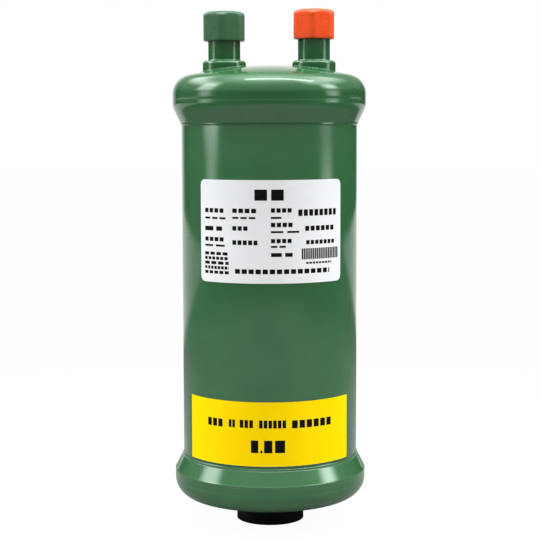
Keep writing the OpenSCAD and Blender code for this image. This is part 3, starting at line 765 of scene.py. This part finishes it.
class SEPARATOR_OT_necks(Operator):
    """Models the two pipe necks with their collars, and the weld beads that hold them to the dome"""
    bl_idname = "separator.necks"
    bl_label = "Necks and welds"

    def execute(self, context):
        sizes = context.scene.neck_sizes
        crown = context.scene.vessel_sizes.crown_radius
        dome = POLE_HIGH - crown + math.sqrt(crown * crown - NECK_X * NECK_X)
        slope = math.asin(NECK_X / crown)
        sink = crown - math.sqrt(crown * crown - COLLAR_R * COLLAR_R)
        post = neck_profile(sizes, dome + sizes.collar_height)
        ring = collar_profile(sizes, dome)
        weld = bead_profile(COLLAR_R, 0.0, sizes.collar_weld, inset=0.3 * MM, depth=0.6 * MM, up=1, steps=9)
        for name, side in (("inlet", 1), ("outlet", -1)):
            x = side * NECK_X
            neck = turned(name + "_neck", post, (x, 0.0, 0.0), steps=NECK_STEPS)
            collar = turned(name + "_collar", ring, (x, 0.0, 0.0), steps=NECK_STEPS)
            edit_all(collar)
            bpy.ops.mesh.bisect(plane_co=(x, 0.0, dome - 0.5 * MM),
                                plane_no=(side * math.sin(slope), 0.0, math.cos(slope)),
                                use_fill=True, clear_inner=True)
            pick(neck)
            collar.select_set(True)
            bpy.ops.object.join()
            enamelled(name_piece(name + "_neck"), name + "_socket")
            foot = (x - side * sink * math.sin(slope), 0.0, dome - sink * math.cos(slope))
            bead = turned(name + "_bead", weld, foot, side * slope, BEAD_STEPS)
            uneven(bead, amount=0.04 * MM, seed=5 + side)
            enamelled(bead, name + "_weld", degrees=50.0)
        return {"FINISHED"}


def hex_bar(name, x, low, high, corner, sizes):
    """A six-sided bar with rounded upright edges."""
    bar = cylinder(name, x, low, high, corner, 6, sizes.turn)
    edit_mode()
    bpy.ops.mesh.select_mode(type="EDGE")
    bpy.ops.mesh.select_all(action="DESELECT")
    edit_mode(False)
    points = bar.data.vertices
    for edge in bar.data.edges:
        a, b = (points[i].co for i in edge.vertices)
        edge.select = abs(a.z - b.z) > 1 * MM
    edit_mode()
    bpy.ops.mesh.bevel(offset=sizes.corner_round, segments=5, affect="EDGES")
    bpy.ops.mesh.select_mode(type="VERT")
    edit_mode(False)
    return bar


def shoulder_profile(sizes, corner, low, high):
    """Closed profile of the turned blank that trims a pipe cap's edges and domes its top."""
    trim, chamfer, below = corner - 0.3 * MM, 0.5 * MM, low - 1 * MM
    flat_top = sizes.flat_radius - sizes.top_inset
    drop, crown, steps = sizes.shoulder, sizes.crown, 12
    profile = [(0.0, below), (trim - chamfer, below), (trim - chamfer, low), (trim, low + chamfer)]
    for i in range(steps + 1):
        t = math.radians(90.0 * i / steps)
        profile.append((flat_top + (trim - flat_top) * math.cos(t),
                        high - crown - (drop - crown) * (1 - math.sin(t))))
    return profile + [(0.55 * flat_top, high - 0.08 * MM), (0.0, high)]


class SEPARATOR_OT_pipe_caps(Operator):
    """Models the two moulded six-sided caps that keep the necks shut"""
    bl_idname = "separator.pipe_caps"
    bl_label = "Pipe caps"

    def execute(self, context):
        sizes = context.scene.cap_sizes
        colours = context.scene.finish_colours
        corner = sizes.flat_radius / math.cos(math.pi / 6)
        bore = context.scene.neck_sizes.neck_radius + 0.06 * MM
        for name, side, base, slot in (("inlet_cap", 1, colours.orange_cap, "orange_plastic"),
                                       ("outlet_cap", -1, colours.green_cap, "green_plastic")):
            low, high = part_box(name)[0].z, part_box(name)[1].z
            x = side * NECK_X
            cap = hex_bar(name.replace("_cap", "_hex_cap"), x, low, high, corner, sizes)
            profile = shoulder_profile(sizes, corner, low, high)
            blank = turned("shoulder_blank", profile, (x, 0.0, 0.0), steps=NECK_STEPS)
            apply_modifier(cap, "BOOLEAN", object=blank, operation="INTERSECT", solver="EXACT")
            bpy.data.objects.remove(blank)
            bored(cap, x, low - 1 * MM, high - sizes.roof, bore)
            apply_modifier(cap, "REMESH", mode="VOXEL", voxel_size=CAP_VOXEL)
            apply_modifier(cap, "SMOOTH", factor=0.5, iterations=4)
            soften(cap, 60.0)
            finish = sandy_plastic(slot.replace("_", " "), base, side, sizes.turn, low, high)
            dress(cap, finish, name, slot, name)
        return {"FINISHED"}


def boss_profile():
    """Closed profile of the oil return's boss: a wide mouth, the lines of a thread and a passage."""
    low, high = BOSS_LOW, BOSS_HIGH
    mouth, thread, passage = 6.5 * MM, 4.95 * MM, 3.0 * MM
    step, end = low + 2.5 * MM, low + 10.5 * MM
    pitch, turns, root = 1.27 * MM, 6, thread + 0.6 * MM
    profile = [(BOSS_R, high), (BOSS_R, low + 0.4 * MM), (BOSS_R - 0.4 * MM, low), (mouth + 0.3 * MM, low),
               (mouth, low + 0.3 * MM), (mouth, step), (thread + 0.45 * MM, step)]
    for i in range(turns):
        start = step + 0.25 * MM + i * pitch
        profile += [(thread, start), (thread, start + 0.2 * MM), (root, start + 0.62 * MM),
                    (root, start + 0.75 * MM)]
    return profile + [(thread, end), (passage, end), (passage, high)]


def flat_cap_profile(sizes):
    """Closed profile of the flat cap: a floor with a raised rim and a plug."""
    top, floor, plug_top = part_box("base_cap")[1].z, sizes.base_floor, sizes.plug_top
    rim, recess, plug = BASE_CAP_R, sizes.base_recess, sizes.plug_radius
    foot_round, rim_round, ease = 0.25 * MM, 0.3 * MM, 0.4 * MM
    profile = [(0.0, 0.0)]
    profile += rounded((0.0, 0.0), (rim, 0.0), (rim, top), foot_round, 5)
    profile += rounded((rim, 0.0), (rim, top), (recess, top), rim_round)
    profile += rounded((rim, top), (recess, top), (recess, floor), rim_round)
    profile += [(recess, floor + ease), (recess - ease, floor), (plug + ease, floor), (plug, floor + ease)]
    profile += rounded((plug, floor), (plug, plug_top), (0.0, plug_top), ease)
    return profile + [(0.0, plug_top)]


class SEPARATOR_OT_oil_return(Operator):
    """Models the threaded boss under the vessel, its weld and the flat black cap that covers it"""
    bl_idname = "separator.oil_return"
    bl_label = "Oil return"

    def execute(self, context):
        scene = context.scene
        vessel = scene.vessel_sizes
        enamelled(turned("oil_boss", boss_profile(), steps=BOSS_STEPS), "return_spud")
        pole = SEAM_LOW - vessel.bottom_rim - vessel.bottom_band - dish_height(vessel)
        weld = bead_profile(BOSS_R, pole, scene.neck_sizes.boss_weld, inset=0.2 * MM, depth=0.8 * MM, up=-1,
                            steps=8)
        bead = turned("boss_bead", weld, steps=BEAD_STEPS)
        uneven(bead, amount=0.09 * MM, seed=3)
        enamelled(bead, "spud_weld", degrees=50.0)
        cap = turned("flat_cap", flat_cap_profile(scene.cap_sizes), steps=FLAT_CAP_STEPS)
        soften(cap)
        dress(cap, black_plastic(scene.finish_colours.black_cap), "base_cap", "black_plastic", "base_cap")
        return {"FINISHED"}


def wrapped_label(name, node, width, corner, turn):
    """A rounded sheet, cut into columns, thickened and bent round the tube."""
    low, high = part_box(node)[0].z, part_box(node)[1].z
    inner = TUBE_R + LABEL_GAP
    clear_selection()
    bpy.ops.mesh.primitive_plane_add(size=1.0, rotation=(math.pi / 2, 0.0, 0.0))
    sheet = name_piece(name)
    sheet.scale = (width, high - low, 1.0)
    settle()
    edit_all(sheet)
    bpy.ops.mesh.bevel(offset=corner, segments=8, affect="VERTICES")
    for i in range(1, LABEL_COLUMNS):
        bpy.ops.mesh.select_all(action="SELECT")
        bpy.ops.mesh.bisect(plane_co=(width * (i / LABEL_COLUMNS - 0.5), 0.0, 0.0), plane_no=(1.0, 0.0, 0.0))
    bpy.ops.mesh.select_all(action="SELECT")
    bpy.ops.transform.translate(value=(0.0, 0.0, (low + high) / 2))
    bpy.ops.mesh.normals_make_consistent(inside=False)
    edit_mode(False)
    if sheet.data.polygons[0].normal.y > 0:
        edit_all(sheet)
        bpy.ops.mesh.flip_normals()
        edit_mode(False)
    apply_modifier(sheet, "SOLIDIFY", thickness=LABEL_THICK, offset=1.0)
    apply_modifier(sheet, "SIMPLE_DEFORM", deform_method="BEND", deform_axis="Z", angle=width / inner)
    sheet.location = (0.0, -inner, 0.0)
    settle()
    sheet.rotation_euler = (0.0, 0.0, turn)
    settle()
    soften(sheet)
    return sheet


class SEPARATOR_OT_labels(Operator):
    """Models the white and the yellow label, with plain printed bars in place of words"""
    bl_idname = "separator.labels"
    bl_label = "Labels"

    def execute(self, context):
        sizes = context.scene.label_sizes
        colours = context.scene.finish_colours
        white = wrapped_label("white_label", "nameplate_label", sizes.nameplate_width, sizes.nameplate_corner,
                              sizes.nameplate_turn)
        middle = (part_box("nameplate_label")[0].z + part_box("nameplate_label")[1].z) / 2
        stock = label_stock("white label stock", colours.white_label, colours.print_ink, middle, NAMEPLATE_BARS,
                            sizes.nameplate_turn)
        dress(white, stock, "vessel", "white_label", "nameplate_label")
        yellow = wrapped_label("yellow_label", "charge_label", sizes.charge_width, sizes.charge_corner,
                               sizes.charge_turn)
        foot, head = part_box("charge_label")[0].z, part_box("charge_label")[1].z
        # Painted shadow line along the yellow label's sides and foot
        edge = (sizes.charge_width / 2 - sizes.charge_shadow_width, foot + 0.4 * MM, colours.painted_edge_shadow)
        stock = label_stock("yellow label stock", colours.yellow_label, colours.print_ink, head, CHARGE_BARS,
                            sizes.charge_turn, edge)
        dress(yellow, stock, "vessel", "yellow_label", "charge_label")
        return {"FINISHED"}


class SEPARATOR_OT_inner_works(Operator):
    """Finishes the screens, the baffle and the float valve inside the vessel"""
    bl_idname = "separator.inner_works"
    bl_label = "Inner works"

    def execute(self, context):
        colours = context.scene.finish_colours
        finishes = {
            "bright_steel": inner_metal("bright inner steel", colours.steel, metallic=1.0, rough=(0.24, 0.36)),
            "valve_brass": inner_metal("turned valve brass", colours.brass, metallic=1.0, rough=(0.22, 0.34)),
            "ferrite": inner_metal("sump ferrite", colours.ferrite, metallic=0.0, rough=(0.55, 0.7)),
        }
        for part in frame["record"]["subparts"]:
            finish = finishes.get(part["material_slot"])
            if finish:
                mesh = frame["nodes"][part["node"]].data
                mesh.materials.clear()
                mesh.materials.append(finish)
        return {"FINISHED"}


# Studio


def background_seen(tree, depth, near, far):
    """Mask of the rays that meet the white background, mirrored ones where it stands behind the vessel."""
    path = add_node(tree, "ShaderNodeLightPath")
    mirrored = maths(tree, "MULTIPLY", path.outputs["Is Glossy Ray"], ramp(tree, depth, near, far))
    seen = maths(tree, "MAXIMUM", path.outputs["Is Camera Ray"], path.outputs["Is Transmission Ray"])
    return maths(tree, "MAXIMUM", seen, mirrored)


def pale_floor():
    """Matte floor with a painted pool of light that darkens away from the vessel, and glows white where it is
    seen as background.
    """
    material, tree, shader, place = new_material("pale floor")
    # The floor's colour paints a pool of light: brightest near a spot in front of the vessel, darker further
    # away.
    near, drift, far = (0.31, 0.31, 0.31), (0.3, 0.3, 0.3), (0.06, 0.06, 0.06)
    light_pool_centre, bright_to, dark_from = (0.0, -0.3, 0.0), 0.1, 0.8
    glow_strength, glow_share, skew = 1.1, 0.88, -0.2
    tone, _ = toned(tree, place, near, drift, scale=3.0)
    away = add_node(tree, "ShaderNodeVectorMath", operation="DISTANCE")
    feed(tree, away.inputs[0], place)
    feed(tree, away.inputs[1], light_pool_centre)
    light_pool_tone = blended(tree, ramp(tree, away.outputs["Value"], bright_to, dark_from), tone, far)
    fill(tree, shader, {"Base Color": light_pool_tone, "Roughness": 0.9, "Specular IOR Level": 0.1})
    glow = fill(tree, add_node(tree, "ShaderNodeEmission"), {"Strength": glow_strength})
    x, y, _ = split(tree, place)
    seen = background_seen(tree, maths(tree, "MULTIPLY_ADD", x, skew, y), near=0.36, far=0.56)
    mix = add_node(tree, "ShaderNodeMixShader")
    fill(tree, mix, {"Fac": maths(tree, "MULTIPLY", seen, glow_share)})
    tree.links.new(shader.outputs["BSDF"], mix.inputs[1])
    tree.links.new(glow.outputs["Emission"], mix.inputs[2])
    tree.links.new(mix.outputs["Shader"], tree.nodes["Material Output"].inputs["Surface"])
    return material


def white_room(settings):
    """Room that is seen as plain white, and lights the vessel from its front, its ceiling and its windows."""
    world = bpy.data.worlds.new("white room")
    world.use_nodes = True
    tree = world.node_tree
    compass = add_node(tree, "ShaderNodeTexCoord")
    x, y, z = split(tree, compass.outputs["Generated"])
    rise = maths(tree, "DEGREES", maths(tree, "ARCSINE", z))
    bearing = maths(tree, "DEGREES", maths(tree, "ARCTAN2", x, maths(tree, "MULTIPLY", y, -1.0)))
    front, back, skew = -0.2, 0.7, -0.1
    skirting, wall_top, dimmed = 0.04, 0.4, 0.05
    walls = ramp(tree, y, front, back, settings.room, settings.rear)
    roof = ramp(tree, y, front, back, settings.ceiling, 0.6 * settings.ceiling)
    height = maths(tree, "POWER", maths(tree, "MAXIMUM", z, 0.0), 8.0)
    light = maths(tree, "MULTIPLY", walls, ramp(tree, z, skirting, wall_top, dimmed))
    light = maths(tree, "MULTIPLY_ADD", height, roof, light)
    for key, middle, half, level, reach, soft in WINDOWS:
        window = place_group(tree, soft_window_group(), Bearing=bearing, Height=rise, Middle=middle, Half=half,
                             Level=level, Reach=reach, Soft=soft, Strength=getattr(settings, key))
        light = maths(tree, "ADD", light, window.outputs["Light"])
    seen = background_seen(tree, maths(tree, "MULTIPLY_ADD", x, skew, y), near=0.84, far=1.0)
    fill(tree, tree.nodes["Background"],
         {"Color": (1.0, 1.0, 1.0), "Strength": maths(tree, "MAXIMUM", seen, light)})
    return world


class SEPARATOR_OT_studio(Operator):
    """Sets up the pale floor, the white room, the overhead light and the camera"""
    bl_idname = "separator.studio"
    bl_label = "Studio"

    def execute(self, context):
        scene = context.scene
        settings = scene.studio_settings
        clear_selection()
        bpy.ops.mesh.primitive_plane_add(size=FLOOR_SIZE)
        floor = name_piece("floor")
        floor.data.materials.append(pale_floor())
        scene.world = white_room(settings)
        place, aim = Vector((0.12, -0.11, 0.8)), Vector((0.12, -0.05, 0.18))
        bpy.ops.object.light_add(type="AREA", location=place)
        light = name_piece("overhead")
        light.data.shape = "RECTANGLE"
        light.data.size, light.data.size_y = 0.65, 0.1
        light.data.energy = settings.overhead
        light.rotation_euler = (aim - place).to_track_quat("-Z", "Y").to_euler()
        bpy.ops.object.camera_add(location=(settings.camera_side, -settings.distance, settings.camera_height),
                                  rotation=(math.pi / 2 - settings.tilt, settings.roll, 0.0))
        camera = name_piece("camera")
        camera.data.lens = settings.lens
        camera.data.sensor_width = 36.0
        camera.data.sensor_fit = "HORIZONTAL"
        camera.data.clip_start = 0.01
        scene.camera = camera
        scene.view_settings.view_transform = "Standard"
        return {"FINISHED"}


OPERATORS = (
    SEPARATOR_OT_shell, SEPARATOR_OT_heads, SEPARATOR_OT_necks, SEPARATOR_OT_pipe_caps, SEPARATOR_OT_oil_return,
    SEPARATOR_OT_labels, SEPARATOR_OT_inner_works, SEPARATOR_OT_studio,
)
GROUPS = {
    "vessel_sizes": VesselSizes, "neck_sizes": NeckSizes, "cap_sizes": CapSizes, "label_sizes": LabelSizes,
    "finish_colours": FinishColours, "studio_settings": StudioSettings,
}


class SEPARATOR_PT_dressing(Panel):
    """Lists the steps that dress the oil separator, and their settings"""
    bl_label = "Oil separator"
    bl_idname = "SEPARATOR_PT_dressing"
    bl_space_type = "VIEW_3D"
    bl_region_type = "UI"
    bl_category = "Oil separator"

    def draw(self, context):
        for step in OPERATORS:
            self.layout.operator(step.bl_idname)
        for key in GROUPS:
            box = self.layout.box()
            group = getattr(context.scene, key)
            for name in group.bl_rna.properties.keys():
                if name not in ("rna_type", "name"):
                    box.prop(group, name)


def register():
    for group in GROUPS.values():
        bpy.utils.register_class(group)
    for key, group in GROUPS.items():
        setattr(bpy.types.Scene, key, PointerProperty(type=group))
    for step in OPERATORS:
        bpy.utils.register_class(step)
    bpy.utils.register_class(SEPARATOR_PT_dressing)


def unregister():
    bpy.utils.unregister_class(SEPARATOR_PT_dressing)
    for step in reversed(OPERATORS):
        bpy.utils.unregister_class(step)
    for key in GROUPS:
        delattr(bpy.types.Scene, key)
    for group in GROUPS.values():
        bpy.utils.unregister_class(group)


def main():
    register()
    bpy.ops.separator.shell()
    bpy.ops.separator.heads()
    bpy.ops.separator.necks()
    bpy.ops.separator.pipe_caps()
    bpy.ops.separator.oil_return()
    bpy.ops.separator.labels()
    bpy.ops.separator.inner_works()
    bpy.ops.separator.studio()
    clear_selection()


if __name__ == "__main__":
    main()
